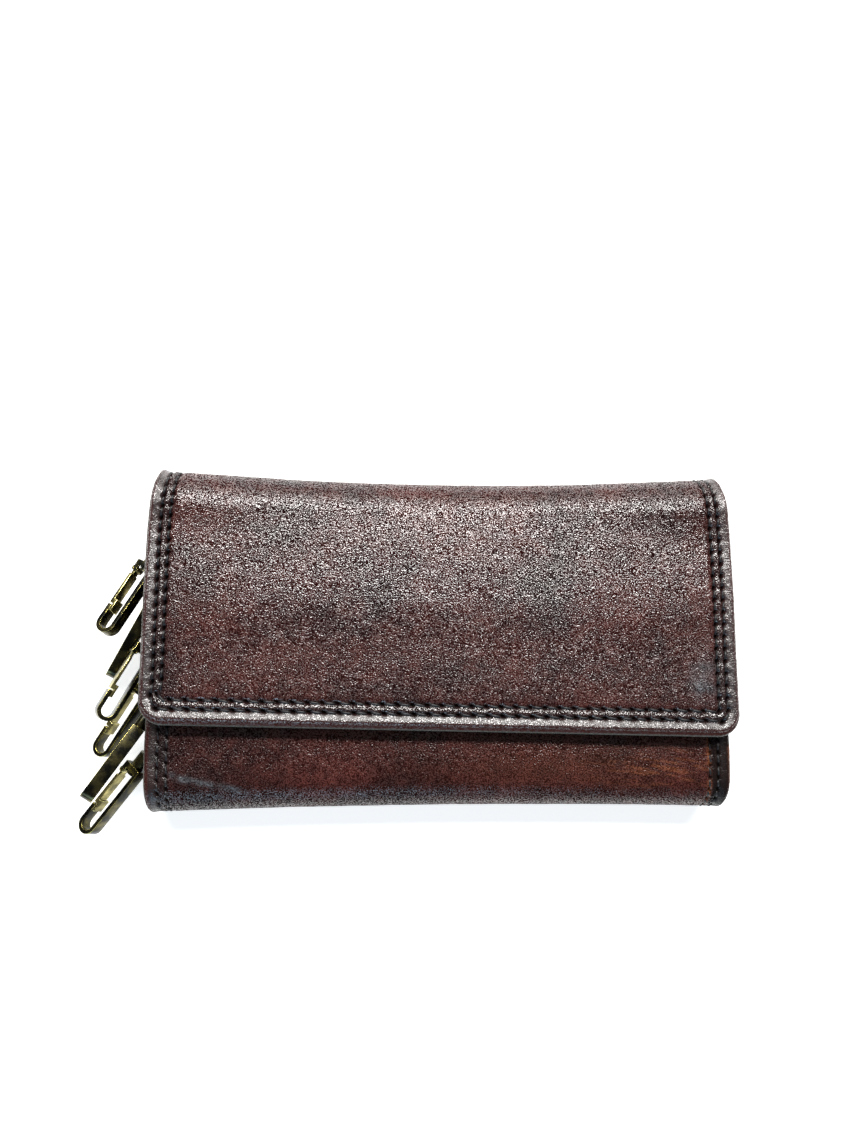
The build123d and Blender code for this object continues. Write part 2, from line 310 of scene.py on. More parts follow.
def on_outside(obj, values, rest_value=0.0):
    """Values for the outer grid's vertices, with one value for the inside."""
    full = np.full(len(obj.data.vertices), rest_value)
    full[:values.size] = values.ravel()
    return full


def lift(path, X, S, height):
    """Points a height above a path's outer surface."""
    y, z, ny, nz = path.place(S)
    return np.stack([X, y + ny * height, z + nz * height], -1)


def fix_normals(obj):
    """Faces turned outwards."""
    bm = bmesh.new()
    bm.from_mesh(obj.data)
    bmesh.ops.recalc_face_normals(bm, faces=bm.faces)
    bm.to_mesh(obj.data)
    bm.free()


# ---------------------------------------------------------------- stitches

ROUTE_STEP = 0.1
TIGHTEST_TURN = 0.7
TURN_DEGREES = np.arange(0, 91, 6)


def side_route(panel, inset):
    """Route of one row down both sides of a panel, as lists of points (x, s)."""
    s = np.arange(0.0, PATHS[panel].length, ROUTE_STEP)
    side = np.stack([half_width(panel, s) - inset, s], 1)
    return [side, side * (-1, 1)]


def border_route(panel, side_inset, end_inset):
    """Route of one row down a panel's side, across its free end and up again."""
    path = PATHS[panel]
    corner = max(CORNER[panel] - side_inset, TIGHTEST_TURN)
    end = path.length - end_inset
    side = side_route(panel, side_inset)[0]
    side = side[side[:, 1] < end - corner]
    turn = np.radians(TURN_DEGREES)
    x0 = HALF_WIDTH[panel] - side_inset - corner
    arc = np.stack([x0 + corner * np.cos(turn), end - corner + corner * np.sin(turn)], 1)
    x = np.arange(x0 - ROUTE_STEP, 0, -ROUTE_STEP)
    half = np.concatenate([side, arc, np.stack([x, np.full_like(x, end)], 1)])
    whole = np.concatenate([half, half[::-1] * (-1, 1)])
    whole[:, 1] *= free_edge(panel, whole[:, 0]) / path.length
    return [whole]


def row_routes(panel):
    """Every row of stitches of a panel."""
    if panel not in CORNER:
        return [route for inset in SIDE_ROWS for route in side_route(panel, inset)]
    pairs = zip(SIDE_ROWS, END_ROWS)
    return [route for side, end in pairs for route in border_route(panel, side, end)]


MOSTLY_ACROSS = 0.7


def stitch_places(panel):
    """Middle, direction and pitch of every stitch, one row of numbers each."""
    places = []
    for route in row_routes(panel):
        step = np.diff(route, axis=0)
        heading = step / np.hypot(step[:, 0], step[:, 1])[:, None]
        pitch = np.where(np.abs(heading[:, 0]) > MOSTLY_ACROSS, END_PITCH, SIDE_PITCH)
        count = np.concatenate([[0], np.cumsum(np.hypot(step[:, 0], step[:, 1]) / pitch)])
        at = np.arange(0.5, int(count[-1]))
        columns = [np.interp(at, count, route[:, k]) for k in (0, 1)]
        columns += [np.interp(at, count[1:], heading[:, k]) for k in (0, 1)]
        columns += [np.interp(at, count[1:], pitch)]
        places.append(np.stack(columns, 1))
    return np.concatenate(places)


def turned_by(dx, ds, angle):
    """Direction turned by an angle within the surface."""
    c, s = math.cos(angle), math.sin(angle)
    return dx * c - ds * s, dx * s + ds * c


THREAD_SLANT = math.radians(9)
HOLE_SLANT = math.radians(27)
THREAD_RINGS = np.array([-0.5, -0.47, -0.4, -0.22, 0.0, 0.22, 0.4, 0.47, 0.5])
THREAD_SIDES = 8
THREAD_DIP = 0.42
THREAD_SINK = 0.10
THREAD_TAPER = 0.02
STITCH_SEED = 7
SLANT_SPREAD = 0.06
LENGTH_SPREAD = (0.94, 1.04)
HOLE_LONG = 0.57
HOLE_WIDE = 0.30
HOLE_REACH = 1.3
HOLE_STEEPNESS = 1.5


def thread_tube(verts, faces, path, panel, place, length):
    """One length of thread that dives into the leather at both ends."""
    x, s, dx, ds = place
    base = len(verts)
    around = np.arange(THREAD_SIDES) * 2 * math.pi / THREAD_SIDES
    for t in THREAD_RINGS:
        radius = STITCH_RADIUS * math.sqrt(max(1 - abs(2 * t) ** 5, THREAD_TAPER))
        cx, cs = x + dx * t * length, s + ds * t * length
        height = crown(panel, cx, cs) - THREAD_SINK - THREAD_DIP * (2 * t) ** 4
        for a in around:
            off = radius * math.cos(a)
            y, z, ny, nz = path.place(cs + dx * off)
            h = height + radius * math.sin(a)
            verts.append((cx - ds * off, y + ny * h, z + nz * h))
    last = len(THREAD_RINGS) - 1
    for i in range(last):
        for k in range(THREAD_SIDES):
            a = base + i * THREAD_SIDES + k
            b = base + i * THREAD_SIDES + (k + 1) % THREAD_SIDES
            faces.append((a, b, b + THREAD_SIDES, a + THREAD_SIDES))
    faces.append(tuple(base + k for k in reversed(range(THREAD_SIDES))))
    faces.append(tuple(base + last * THREAD_SIDES + k for k in range(THREAD_SIDES)))


def stitch_mesh(panel, name):
    """All the stitches of a panel as one mesh of thread lengths."""
    rng = np.random.RandomState(STITCH_SEED)
    verts, faces = [], []
    for x, s, dx, ds, pitch in stitch_places(panel):
        heading = turned_by(dx, ds, THREAD_SLANT + rng.uniform(-SLANT_SPREAD, SLANT_SPREAD))
        length = (pitch - STITCH_GAP) * rng.uniform(*LENGTH_SPREAD)
        thread_tube(verts, faces, PATHS[panel], panel, (x, s, *heading), length)
    obj = new_object(name, verts, faces)
    fix_normals(obj)
    return obj


def needle_holes(panel, X, S, long=HOLE_LONG, wide=HOLE_WIDE):
    """Mask of the slanted needle holes at the ends of the stitches."""
    x, s, dx, ds, pitch = stitch_places(panel).T
    hole_x, hole_s = x + dx * pitch / 2, s + ds * pitch / 2
    flat_x, flat_s = X.ravel(), S.ravel()
    order = np.argsort(flat_s)
    sorted_s = flat_s[order]
    mask = np.zeros(len(flat_x))
    for hx, hs, row_x, row_s in zip(hole_x, hole_s, dx, ds):
        slit_x, slit_s = turned_by(row_x, row_s, HOLE_SLANT)
        low, high = np.searchsorted(sorted_s, (hs - HOLE_REACH, hs + HOLE_REACH))
        near = order[low:high]
        near = near[np.abs(flat_x[near] - hx) < HOLE_REACH]
        px, ps = flat_x[near] - hx, flat_s[near] - hs
        reach = ((px * slit_x + ps * slit_s) / long) ** 2 + ((ps * slit_x - px * slit_s) / wide) ** 2
        mask[near] = np.maximum(mask[near], np.exp(-reach ** HOLE_STEEPNESS))
    return mask.reshape(X.shape)


# ---------------------------------------------------------------- leather surface

EDGE_ROUND = 0.95
HEM_INSIDE = 2.4
LAYER_ROUND = 0.3
LAYER_ROUND_RUN = 0.25
LAYER_STEP = 0.9

# The inside of the outer leather: one line in five of the outside's, and plain values
INSIDE_SKIP = 5
INSIDE_ROW = -2.0
INSIDE_WAX = 0.5


def row_distance(panel, X, S):
    """Distance from the outer row of stitches, positive towards the field."""
    side = half_width(panel, S) - np.abs(X) - SIDE_ROWS[0]
    if panel not in CORNER:
        return side
    end = free_edge(panel, X) - S - END_ROWS[0]
    r = max(CORNER[panel] - SIDE_ROWS[0], TIGHTEST_TURN)
    in_corner = (side < r) & (end < r)
    return np.where(in_corner, r - np.hypot(r - side, r - end), np.minimum(side, end))


def by_fold(panel, S, upper, lower):
    """One value on the flap and the upper fold, and another on the rest of the case."""
    if panel == "flap":
        return upper + 0 * S
    if panel != "upper_back":
        return lower + 0 * S
    arc = PATHS[panel].arc
    return lower + (upper - lower) * (1 - smooth((S - arc / 2) / arc))


# Height of the sewn border by distance from the outer row, positive towards the field
PROFILE_AT = (-3.4, -2.35, -2.0, -1.7, -0.25, 0.0, 0.3, 0.6, 1.6, 1.85, 2.15, 2.9)
PROFILE_HEIGHT = (-0.32, -0.26, 0.22, 0.28, -0.22, -0.28, -0.05, 0.06, -0.18, -0.24, -0.08, 0.0)
PROFILE_SOFTNESS = 9
PROFILE_STEP = 0.03
FLAT_BORDER = 0.3
PUCKER_SIZE = {"long": 0.75, "wide": 0.8}
PUCKER_DEPTH = 0.15
HOLE_DEPTH = 0.7

# Random relief, each kind with its height, cell size and seed
SLOW_WAVE = (0.12, 21.0, 13)
SMALL_WAVE = (0.025, 6.5, 23)
CREASES = (0.03, 2.6, 31)
PORES = (0.006, 0.9, 37)
SEWN_ROUGHNESS = (0.05, 0.8, 61)


def border_profile(d):
    """Height of the sewn border: two sunk rows, a roll between and a roll outside."""
    at = np.arange(PROFILE_AT[0], PROFILE_AT[-1], PROFILE_STEP)
    window = np.hanning(PROFILE_SOFTNESS + 2)[1:-1]
    height = np.interp(at, PROFILE_AT, PROFILE_HEIGHT)
    padded = np.pad(height, PROFILE_SOFTNESS // 2, mode="edge")
    return np.interp(d, at, np.convolve(padded, window / window.sum(), "valid"))


def sewn_relief(panel, X, S, holes):
    """Relief of the sewn border, puckered where the thread pulls it down."""
    depth = by_fold(panel, S, 1.0, FLAT_BORDER)
    d = row_distance(panel, X, S)
    puckers = needle_holes(panel, X, S, **PUCKER_SIZE)
    rough = waves(X, S, SEWN_ROUGHNESS) * (d < HEM_INSIDE)
    return depth * (border_profile(d) - PUCKER_DEPTH * puckers + rough - HOLE_DEPTH * holes)


# Bow of each fold along X: at its middle, its curve and its tilt
FOLD_BOW = {1: (-0.9, 2.1, 0.2), -1: (-0.6, 0.9, -0.3)}
BOW_HALF = 57.0
BOW_START = 0.2
BOW_RUN = {1: 1.3, -1: 0.8}
BACK_FLAT = 0.4

# Fall of the flap beside its fold and lift of its free half, each with its run
FLAP_DIP = (1.0, 22.0)
FLAP_LIFT = (0.5, 20)
FLAP_LIFT_START = 24
FRONT_SINK = 0.2
FRONT_DIP = (0.5, 12.0)


def panel_fall(path, S):
    """Height of a closed panel along its length, from its fold to its free edge."""
    beyond = S - path.arc
    if path.side < 0:
        dip, run = FRONT_DIP
        return -FRONT_SINK - dip * smooth(beyond / run)
    dip, run = FLAP_DIP
    lift, lift_run = FLAP_LIFT
    return -dip * (1 - smooth(beyond / run)) + lift * smooth((beyond - FLAP_LIFT_START) / lift_run)


def crown(panel, X, S):
    """Slow shape of a soft panel that its layers and thread all follow."""
    path = PATHS[panel]
    along = S * path.rise
    wave = waves(X, along, SLOW_WAVE, path.side) + waves(X, along, SMALL_WAVE)
    near_fold = 1 - smooth((S - path.arc * BOW_START) / (path.arc * BOW_RUN[path.rise]))
    x = X / BOW_HALF
    middle, curve, tilt = FOLD_BOW[path.side]
    bow = middle + curve * x * x + tilt * x
    if path.rise > 0:
        return wave + bow * near_fold + panel_fall(path, S) * smooth(S / path.arc)
    flat = smooth((S - path.arc * BACK_FLAT) / (path.arc * (1 - BACK_FLAT)))
    return wave * (1 - flat) + bow * near_fold


def fine_relief(X, S):
    """Creases and pores too large for the grain of the finish."""
    return waves(X, S, CREASES) + waves(X, S, PORES)


def edge_drop(d):
    """Fall of a rounded edge at a distance from the outline."""
    inside = np.clip(EDGE_ROUND - d, 0, None)
    return EDGE_ROUND - np.sqrt(np.clip(EDGE_ROUND ** 2 - inside ** 2, 0, None))


def leather_panel(panel, name, step):
    """Outer leather of a panel with its half of the fold, edges rounded and turned."""
    X, S = sheet_grid(panel, step)
    d = edge_distance(panel, X, S)
    holes = needle_holes(panel, X, S)
    low = crown(panel, X, S)
    top = low + sewn_relief(panel, X, S, holes) + fine_relief(X, S) - edge_drop(d)
    turned = np.where(d < HEM_WIDTH, HEM_DEPTH, SHELL)
    obj = sheet_object(name, panel, X, S, top, low - turned, INSIDE_SKIP)
    add_attribute(obj, "edge", on_outside(obj, d))
    add_attribute(obj, "row", on_outside(obj, row_distance(panel, X, S), INSIDE_ROW))
    # The needle holes, where their shade is painted near black
    add_attribute(obj, "hole_shade", on_outside(obj, holes))
    add_attribute(obj, "worn", on_outside(obj, worn_places(panel, X, S)))
    add_attribute(obj, "scratch_reflection_mask", on_outside(obj, scratch_and_flap_reflection(panel, X, S)))
    add_attribute(obj, "ink", on_outside(obj, dark_strip(panel, X, S)))
    add_attribute(obj, "wax", on_outside(obj, wax(panel, X, S), INSIDE_WAX))
    return obj


def inner_panel(panel, name, top, thickness, inset):
    """Plain layer under the outer leather: the card or the lining."""
    X, S = sheet_grid(panel, LAYER_STEP)
    X = X * (1 - inset / HALF_WIDTH[panel])
    if panel in CORNER:
        S = S * (1 - inset / PATHS[panel].length)
    low = crown(panel, X, S) - top
    d = np.clip(edge_distance(panel, X, S) - inset, 0, None)
    rounded = min(LAYER_ROUND, thickness / 2) * np.exp(-d / LAYER_ROUND_RUN)
    return sheet_object(name, panel, X, S, low, low - thickness + rounded)


# ---------------------------------------------------------------- wear

STREAK_LENGTH = 4.5
STREAK_SEED = 41
STREAK_SLOPE = 0.13
FINE_STREAK = (2.5, 1.6)
FINE_SHARE = 0.7
STREAK_START = 0.1
STREAK_FADE = 0.7


def streaks(X, Y):
    """Fine streaks along X, half a millimetre thick, from 0 to 1."""
    thin = (Y + STREAK_SLOPE * X) * STREAK_LENGTH * 2
    coarse = value_noise(X, thin, STREAK_LENGTH, STREAK_SEED)
    shorter, thinner = FINE_STREAK
    fine = value_noise(X * shorter, thin * thinner, STREAK_LENGTH, STREAK_SEED + 1)
    return smooth((coarse + FINE_SHARE * fine - STREAK_START) / STREAK_FADE)


# Rubbed places low on the front, each a spot, and how worn each place is
RUBBED_PATCH = (46, -25.5, 13, 3.6)
RUBBED_AROUND = (25, -25, 24, 4)
PATCH_WEAR = 0.5
AROUND_WEAR = 0.12
STRIP_WEAR = 0.9
RIM_WEAR = 1.3
WEAR_NOISE = (1.0, 1.7, 47)
WEAR_COVER = 0.75
WEAR_FADE = 0.8

# Rubbed lines beside the dark strip and on the rim, by distance from the rim
BESIDE_STRIP = (STRIP_WIDTH + 0.4, 0.35)
RIM_LINE = (0.15, 0.45)
UNDER_FLAP_Y = -12
UNDER_FLAP_FADE = 8


def worn_places(panel, X, S):
    """Where the dye is rubbed through to tan, from 0 to 1."""
    if panel != "front":
        return 0 * X
    y = PATHS[panel].place(S)[0]
    side = PANEL_HALF - X
    worn = PATCH_WEAR * spot(X, y, RUBBED_PATCH) * streaks(X, y) * (side > STRIP_WIDTH)
    worn = worn + AROUND_WEAR * spot(X, y, RUBBED_AROUND)
    lines = STRIP_WEAR * soft_line(side, BESIDE_STRIP) + RIM_WEAR * soft_line(side, RIM_LINE)
    broken = smooth((waves(X, y, WEAR_NOISE) + WEAR_COVER) / WEAR_FADE)
    below_flap = smooth((UNDER_FLAP_Y - y) / UNDER_FLAP_FADE)
    return np.clip(worn + lines * broken * below_flap, 0, 1)


# Painted reflection as a pale bluish spot on the flap, and a scratch on the front from its left end down
# to the right
MARK_STRENGTH = 0.8
FLAP_REFLECTION_SPOT = (52.5, -8, 2.6, 3.6)
FLAP_REFLECTION_LEVEL = 0.7
FLAP_REFLECTION_NOISE = (0.6, 1.6, 53)
SCRATCH_X = -55.0
SCRATCH_Y = -26.7
SCRATCH_SLOPE = 0.22
SCRATCH_LENGTH = 12
SCRATCH_FADES = (2, 5)
SCRATCH_WIDTH = 0.65
SCRATCH_BEND = (0.3, 3.0, 59)
SCRATCH_LEVEL = 0.6
SCRATCH_NOISE = (0.6, 1.1, 67)


def scratch_and_flap_reflection(panel, X, S):
    """Pale marks, from 0 to 1: a painted reflection on the flap and a scratch in the wax on the front."""
    y = PATHS[panel].place(S)[0]
    if panel == "flap":
        # Painted reflection: the pale bluish spot on the flap
        flap_reflection = spot(X, y, FLAP_REFLECTION_SPOT) * (FLAP_REFLECTION_LEVEL + waves(X, y, FLAP_REFLECTION_NOISE))
        return np.clip(MARK_STRENGTH * flap_reflection, 0, 1)
    if panel == "front":
        along = X - SCRATCH_X
        line = y - SCRATCH_Y + SCRATCH_SLOPE * along + waves(X, y * 0, SCRATCH_BEND)
        fade_in, fade_out = SCRATCH_FADES
        length = smooth(along / fade_in) * (1 - smooth((along - SCRATCH_LENGTH) / fade_out))
        broken = SCRATCH_LEVEL + waves(X, y, SCRATCH_NOISE)
        return np.clip(MARK_STRENGTH * soft_line(line, (0, SCRATCH_WIDTH)) * length * broken, 0, 1)
    return 0 * X


FRONT_WAX = 0.5
STRIP_DULLNESS = 0.8
RIM_WAX = 0.25
RIM_START = -2.45
RIM_FADE = 0.4
STRIP_INK = 0.85
STRIP_FADE = 0.6


def wax(panel, X, S):
    """How waxed the leather is: glossy on the flap, duller on the front and the rims."""
    level = by_fold(panel, S, 1.0, FRONT_WAX) * (1 - STRIP_DULLNESS * dark_strip(panel, X, S))
    inside_rim = smooth((row_distance(panel, X, S) - RIM_START) / RIM_FADE)
    return level * (RIM_WAX + (1 - RIM_WAX) * inside_rim)


def dark_strip(panel, X, S):
    """Nearly black edging at the end of the front away from the hooks, from 0 to 1."""
    if panel != "front":
        return 0 * X
    inside = PANEL_HALF - X - STRIP_WIDTH
    return STRIP_INK * (1 - smooth((inside + STRIP_FADE / 2) / STRIP_FADE))


# ---------------------------------------------------------------- transforms


def blend_panel(obj):
    """Bake a piece's transform into its mesh."""
    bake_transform(obj)


# ---------------------------------------------------------------- materials

def new_material(name):
    """Empty node material with a Principled shader."""
    material = bpy.data.materials.new(name)
    material.use_nodes = True
    nodes, links = material.node_tree.nodes, material.node_tree.links
    return material, nodes, links, nodes["Principled BSDF"]


def attribute_node(nodes, name):
    """Value painted on the mesh."""
    node = nodes.new("ShaderNodeAttribute")
    node.attribute_name = name
    return node


def noise_node(nodes, links, vector, scale, detail=2.0, rough=0.5):
    """Cloudy noise from 0 to 1."""
    node = nodes.new("ShaderNodeTexNoise")
    node.inputs["Scale"].default_value = scale
    node.inputs["Detail"].default_value = detail
    node.inputs["Roughness"].default_value = rough
    links.new(vector, node.inputs["Vector"])
    return node.outputs["Fac"]


def ramp_node(nodes, links, value, stops):
    """Colour by value, from stops that are each a position and a colour."""
    node = nodes.new("ShaderNodeValToRGB")
    ramp = node.color_ramp
    while len(ramp.elements) < len(stops):
        ramp.elements.new(0.5)
    for element, (position, colour) in zip(ramp.elements, stops):
        element.position = position
        element.color = (*colour, 1)
    links.new(value, node.inputs["Fac"])
    return node.outputs["Color"]


def mix_node(nodes, links, factor, a, b, blend="MIX"):
    """Blend of two colours, each a socket or plain numbers."""
    node = nodes.new("ShaderNodeMix")
    node.data_type = "RGBA"
    node.blend_type = blend
    for value, socket in ((factor, 0), (a, 6), (b, 7)):
        if hasattr(value, "links"):
            links.new(value, node.inputs[socket])
        else:
            node.inputs[socket].default_value = value if socket == 0 else (*value, 1)
    return node.outputs[2]


def math_node(nodes, links, operation, a, b=0.0, clamp=False):
    """Result of one operation on two values, each a socket or a number."""
    node = nodes.new("ShaderNodeMath")
    node.operation = operation
    node.use_clamp = clamp
    for value, socket in ((a, 0), (b, 1)):
        if hasattr(value, "links"):
            links.new(value, node.inputs[socket])
        else:
            node.inputs[socket].default_value = value
    return node.outputs[0]


def bump_node(nodes, links, height, strength, distance, normal=None):
    """Normal bent by a height, over an earlier bump if there is one."""
    node = nodes.new("ShaderNodeBump")
    node.inputs["Strength"].default_value = strength
    node.inputs["Distance"].default_value = distance
    links.new(height, node.inputs["Height"])
    if normal is not None:
        links.new(normal, node.inputs["Normal"])
    return node.outputs["Normal"]


def range_node(nodes, links, value, low, high, to_low=0.0, to_high=1.0):
    """Value mapped from one range to another, clipped."""
    node = nodes.new("ShaderNodeMapRange")
    for key, number in (("From Min", low), ("From Max", high), ("To Min", to_low), ("To Max", to_high)):
        node.inputs[key].default_value = number
    links.new(value, node.inputs["Value"])
    return node.outputs["Result"]


# Noise scales of the leather, in cells to a metre
CLOUD_SCALE = 60
MOTTLE_SCALE = 480
PEBBLE_SCALE = 3100
GRAIN_SCALE = 3700

# Shades by noise, each stop a position and a colour; the last two multiply the first
CLOUDS = ((0.32, (0.017, 0.0060, 0.0056)), (0.68, (0.050, 0.0135, 0.0108)))
BLOTCHES = ((0.3, (0.66, 0.68, 0.72)), (0.7, (1.35, 1.25, 1.2)))
GRAIN_SHADES = ((0.38, (0.38, 0.38, 0.42)), (0.60, (1.6, 1.5, 1.42)))

# Dyes laid over the shades, in this order, with painted light among them: painted shade in the needle
# holes and painted reflections on the rim and on the flap
LEATHER_DYES_AND_PAINTED_LIGHT = {
    "inner_hem": (0.012, 0.0085, 0.0088),
    "outer_hem": (0.060, 0.0150, 0.0115),
    "ink": (0.0065, 0.0055, 0.0055),
    # painted reflection: pale grey on the rounded rim for the white table seen in its dark edge paint
    "rim_paint_and_reflection": (0.150, 0.150, 0.130),
    "rubbed": (0.215, 0.068, 0.027),
    # pale bluish grey: a painted reflection on the flap and the scratch on the front
    "scratch_reflection_tint": (0.080, 0.090, 0.100),
    # painted shade: near black in the needle holes
    "hole_shade": (0.001, 0.001, 0.001),
}

# Ranges of a value, each its low and high and what they become; rows and edges in millimetres
SPECKLE = (0.42, 0.60, 0.25, 1.3)
INNER_HEM = (1.9, 2.4, 0.6, 0.0)
OUTER_HEM = (-1.9, -1.5, 0.5, 0.0)
# Painted reflection on the rim, by distance from the outline
RIM_PAINT_AND_REFLECTION = (0.12, 0.42, 0.85, 0.0)
HEM_SHINE_OUTER = (-2.0, -1.1, 0.0, 1.0)
HEM_SHINE_INNER = (-0.6, -0.3, 0.65, 0.0)
GRAIN_SHINE = (0.475, 0.575, 0.0, 1.0)
HOLE_SHINE = (0.1, 0.7, 1.0, 0.0)
GRAIN_ROUGHNESS = (0.44, 0.58, 0.42, 0.24)
POLISH = (0.3, 0.7, 0.88, 1.12)


def leather_masks(nodes, links, grain):
    """Where each dye, painted shade and painted reflection lies, in their order."""
    names = ("edge", "row", "ink", "worn", "scratch_reflection_mask", "hole_shade")
    mask = {name: attribute_node(nodes, name).outputs["Fac"] for name in names}
    speckle = range_node(nodes, links, grain, *SPECKLE)
    return {
        "inner_hem": range_node(nodes, links, mask["row"], *INNER_HEM),
        "outer_hem": range_node(nodes, links, mask["row"], *OUTER_HEM),
        "ink": mask["ink"],
        # painted reflection of the white table on the rim
        "rim_paint_and_reflection": range_node(nodes, links, mask["edge"], *RIM_PAINT_AND_REFLECTION),
        "rubbed": math_node(nodes, links, "MULTIPLY", mask["worn"], speckle, True),
        "scratch_reflection_tint": math_node(nodes, links, "MULTIPLY", mask["scratch_reflection_mask"], speckle, True),
        # painted shade in the needle holes
        "hole_shade": mask["hole_shade"],
    }


def leather_colour(nodes, links, rest, mottle, grain):
    """Burgundy dye, cloudy and pebbled, darker on the hems, with worn places, painted shade in the needle
    holes and painted reflections on the rim and the flap.
    """
    clouds = noise_node(nodes, links, rest, CLOUD_SCALE, 3.0, 0.6)
    colour = ramp_node(nodes, links, clouds, CLOUDS)
    for noise, shades in ((mottle, BLOTCHES), (grain, GRAIN_SHADES)):
        shade = ramp_node(nodes, links, noise, shades)
        colour = mix_node(nodes, links, 1.0, colour, shade, "MULTIPLY")
    for name, mask in leather_masks(nodes, links, grain).items():
        colour = mix_node(nodes, links, mask, colour, LEATHER_DYES_AND_PAINTED_LIGHT[name])
    return colour


PEBBLE_BUMP = 0.000055
GRAIN_BUMP = 0.00006
LEATHER_IOR = 1.7


def leather_bumps(nodes, links, rest, grain):
    """Soft pebbles with a finer grain on them."""
    pebble = nodes.new("ShaderNodeTexVoronoi")
    pebble.feature = "SMOOTH_F1"
    pebble.inputs["Scale"].default_value = PEBBLE_SCALE
    pebble.inputs["Smoothness"].default_value = 0.5
    links.new(rest, pebble.inputs["Vector"])
    pebbles = bump_node(nodes, links, pebble.outputs["Distance"], 1.0, PEBBLE_BUMP)
    return bump_node(nodes, links, grain, 1.0, GRAIN_BUMP, pebbles)


def hem_polish(nodes, links):
    """The burnished strip just outside the outer row of stitches."""
    row = attribute_node(nodes, "row").outputs["Fac"]
    outer = range_node(nodes, links, row, *HEM_SHINE_OUTER)
    inner = range_node(nodes, links, row, *HEM_SHINE_INNER)
    return math_node(nodes, links, "MULTIPLY", outer, inner)


def leather_gloss(nodes, links, grain):
    """Wax that shines on the hem and the tops of the grain, and not in the needle holes."""
    tops = range_node(nodes, links, grain, *GRAIN_SHINE)
    shine = math_node(nodes, links, "MAXIMUM", tops, hem_polish(nodes, links))
    holes = attribute_node(nodes, "hole_shade").outputs["Fac"]
    sheen = math_node(nodes, links, "MULTIPLY", shine, range_node(nodes, links, holes, *HOLE_SHINE))
    return math_node(nodes, links, "MULTIPLY", sheen, attribute_node(nodes, "wax").outputs["Fac"])


def leather_material():
    """Dark burgundy waxed leather with a fine pebbled grain that glints."""
    material, nodes, links, shader = new_material("burgundy_leather")
    rest = attribute_node(nodes, "rest").outputs["Vector"]
    mottle = noise_node(nodes, links, rest, MOTTLE_SCALE, 3.0, 0.6)
    grain = noise_node(nodes, links, rest, GRAIN_SCALE, 1.0, 0.6)
    links.new(leather_colour(nodes, links, rest, mottle, grain), shader.inputs["Base Color"])
    crest = range_node(nodes, links, grain, *GRAIN_ROUGHNESS)
    polish = range_node(nodes, links, mottle, *POLISH)
    links.new(math_node(nodes, links, "MULTIPLY", crest, polish), shader.inputs["Roughness"])
    links.new(leather_bumps(nodes, links, rest, grain), shader.inputs["Normal"])
    shader.inputs["IOR"].default_value = LEATHER_IOR
    links.new(leather_gloss(nodes, links, grain), shader.inputs["Specular IOR Level"])
    return material


def lining_material():
    """Smooth dark brown lining leather."""
    material, nodes, links, shader = new_material("lining_leather_finish")
    rest = attribute_node(nodes, "rest").outputs["Vector"]
    clouds = noise_node(nodes, links, rest, 90, 3.0, 0.5)
    grain = noise_node(nodes, links, rest, 1700, 3.0, 0.6)
    colour = ramp_node(nodes, links, clouds, [(0.3, (0.034, 0.015, 0.011)), (0.7, (0.058, 0.026, 0.018))])
    links.new(colour, shader.inputs["Base Color"])
    links.new(bump_node(nodes, links, grain, 0.35, 0.00012), shader.inputs["Normal"])
    shader.inputs["Roughness"].default_value = 0.62
    shader.inputs["Specular IOR Level"].default_value = 0.3
    return material


def thread_material():
    """Waxed near-black thread with a fine twist."""
    material, nodes, links, shader = new_material("waxed_thread")
    coords = nodes.new("ShaderNodeTexCoord").outputs["Object"]
    fibre = noise_node(nodes, links, coords, 5200, 2.0, 0.6)
    colour = ramp_node(nodes, links, fibre, [(0.3, (0.004, 0.004, 0.005)), (0.7, (0.020, 0.018, 0.020))])
    links.new(colour, shader.inputs["Base Color"])
    links.new(bump_node(nodes, links, fibre, 0.5, 0.00008), shader.inputs["Normal"])
    shader.inputs["Roughness"].default_value = 0.42
    return material


PATINA_SCALE = 0.15
RUBBED_PATINA = (0.35, 0.55)
ROUGHNESS_SPREAD = (-0.07, 0.1)


def metal_material(name, dark, bright, rubbed, roughness, scale):
    """Antique-plated metal: darkened on its faces and rubbed bright along its edges."""
    material, nodes, links, shader = new_material(name)
    coords = nodes.new("ShaderNodeTexCoord").outputs["Object"]
    patina = noise_node(nodes, links, coords, scale * PATINA_SCALE, 2.0, 0.5)
    colour = ramp_node(nodes, links, patina, [(0.42, dark), (0.68, bright)])
    wear = attribute_node(nodes, "rubbed").outputs["Fac"]
    patchy = range_node(nodes, links, patina, *RUBBED_PATINA)
    worn = math_node(nodes, links, "MULTIPLY", wear, patchy, True)
    links.new(mix_node(nodes, links, worn, colour, rubbed), shader.inputs["Base Color"])
    shader.inputs["Metallic"].default_value = 1.0
    fine = noise_node(nodes, links, coords, scale, 2.0, 0.5)
    smoother, rougher = ROUGHNESS_SPREAD
    spread = range_node(nodes, links, fine, 0.0, 1.0, roughness + smoother, roughness + rougher)
    links.new(spread, shader.inputs["Roughness"])
    links.new(bump_node(nodes, links, fine, 0.12, 0.00005), shader.inputs["Normal"])
    return material


def card_material():
    """Grey-brown board."""
    material, nodes, links, shader = new_material("grey_board")
    coords = nodes.new("ShaderNodeTexCoord").outputs["Object"]
    fibre = noise_node(nodes, links, coords, 700, 4.0, 0.6)
    colour = ramp_node(nodes, links, fibre, [(0.3, (0.20, 0.15, 0.10)), (0.7, (0.34, 0.27, 0.19))])
    links.new(colour, shader.inputs["Base Color"])
    shader.inputs["Roughness"].default_value = 0.85
    return material


LEATHER = leather_material()
LINING_FINISH = lining_material()
THREAD = thread_material()
CARD = card_material()

